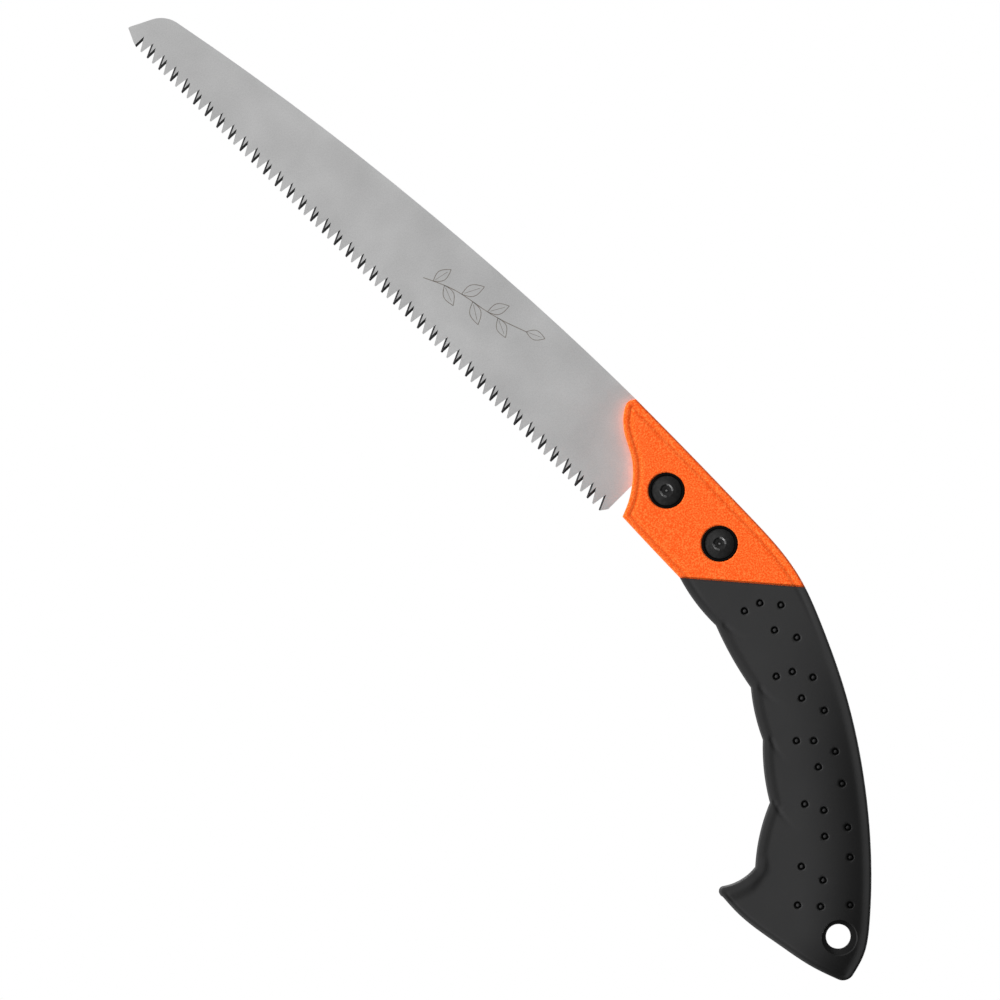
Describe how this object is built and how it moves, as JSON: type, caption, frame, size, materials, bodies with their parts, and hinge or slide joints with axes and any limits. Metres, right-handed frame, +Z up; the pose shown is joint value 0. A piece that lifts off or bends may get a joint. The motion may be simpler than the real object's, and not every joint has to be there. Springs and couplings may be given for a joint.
{
  "type": "pruning saw",
  "caption": "Fixed-blade pruning saw with a curved spine, coarse pull teeth and a down-curved rubber pistol grip, its tang bolted into a bright plastic nose.",
  "frame": {"origin": "centre of the hand grip on the blade's mid plane", "axes": "+X from the blade tip towards the handle, parallel to the tooth line (the pull stroke); +Z up, from the teeth to the spine; Y is the thickness, bolt heads on -Y and nuts on +Y"},
  "size_m": [0.4729, 0.0254, 0.1166],
  "materials": {
    "blade_steel": "satin, fine blasted grain",
    "nose_orange": "fine spark-eroded texture",
    "grip_rubber": "matt soft-touch",
    "fastener_black": "black oxide, semi-gloss",
    "cup_black": "black, matt"
  },
  "bodies": {
    "root": {"saw_blade": "blade_steel", "core_left": "nose_orange", "core_right": "nose_orange", "grip_cover": "grip_rubber", "bolt_front": "fastener_black", "bolt_rear": "fastener_black", "nut_front": "fastener_black", "nut_rear": "fastener_black", "cup_front_left": "cup_black", "cup_rear_left": "cup_black", "cup_front_right": "cup_black", "cup_rear_right": "cup_black"}
  },
  "joints": []
}
